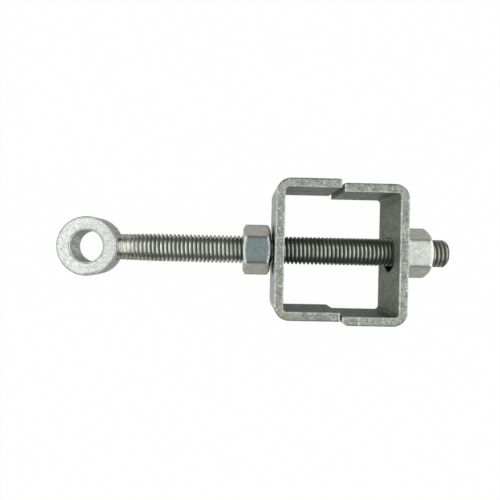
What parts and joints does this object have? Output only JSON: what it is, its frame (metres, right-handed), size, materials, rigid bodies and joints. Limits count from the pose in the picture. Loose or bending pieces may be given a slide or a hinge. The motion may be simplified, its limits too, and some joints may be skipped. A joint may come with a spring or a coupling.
{
  "type": "adjustable gate hinge",
  "caption": "Threaded eye bolt carrying facing folded flat-bar brackets that nuts clamp round a square post, so that a gate hung on a pin through the eye can be adjusted.",
  "frame": {"origin": "centre of the eye's bore", "axes": "+X along the bolt from the eye to its tail, +Z along the eye's bore, upwards when the hinge hangs a gate"},
  "size_m": [0.1679, 0.0602, 0.03],
  "materials": {
    "galvanised_bolt": "hot-dip galvanised, dull mottled zinc",
    "galvanised_bar": "hot-dip galvanised, dull mottled zinc",
    "zinc_nut": "zinc plated, satin"
  },
  "bodies": {
    "eye_bolt": {"eye_bolt": "galvanised_bolt"},
    "eye_side_bracket": {"eye_side_bracket": "galvanised_bar"},
    "eye_side_nut": {"eye_side_nut": "zinc_nut"},
    "tail_side_bracket": {"tail_side_bracket": "galvanised_bar"},
    "tail_side_nut": {"tail_side_nut": "zinc_nut"}
  },
  "joints": [
    {"name": "eye_side_bracket_slide", "type": "slide", "parent": "eye_bolt", "child": "eye_side_bracket", "axis": [1, 0, 0], "range_m": [-0.03325, 0.00044]},
    {"name": "eye_side_nut_turn", "type": "hinge", "parent": "eye_side_bracket", "child": "eye_side_nut", "pos_m": [0.072, 0, 0], "axis": [1, 0, 0], "range_deg": [-6841, 91]},
    {"name": "tail_side_bracket_slide", "type": "slide", "parent": "eye_bolt", "child": "tail_side_bracket", "axis": [1, 0, 0], "range_m": [-0.00044, 0.00831]},
    {"name": "tail_side_nut_turn", "type": "hinge", "parent": "tail_side_bracket", "child": "tail_side_nut", "pos_m": [0.1409, 0, 0], "axis": [1, 0, 0], "range_deg": [-91, 1711]}
  ],
  "couplings": [
    {"joint": "eye_side_nut_turn", "follows": "eye_side_bracket_slide", "rad_per_m": 3590.4},
    {"joint": "tail_side_nut_turn", "follows": "tail_side_bracket_slide", "rad_per_m": 3590.4}
  ]
}
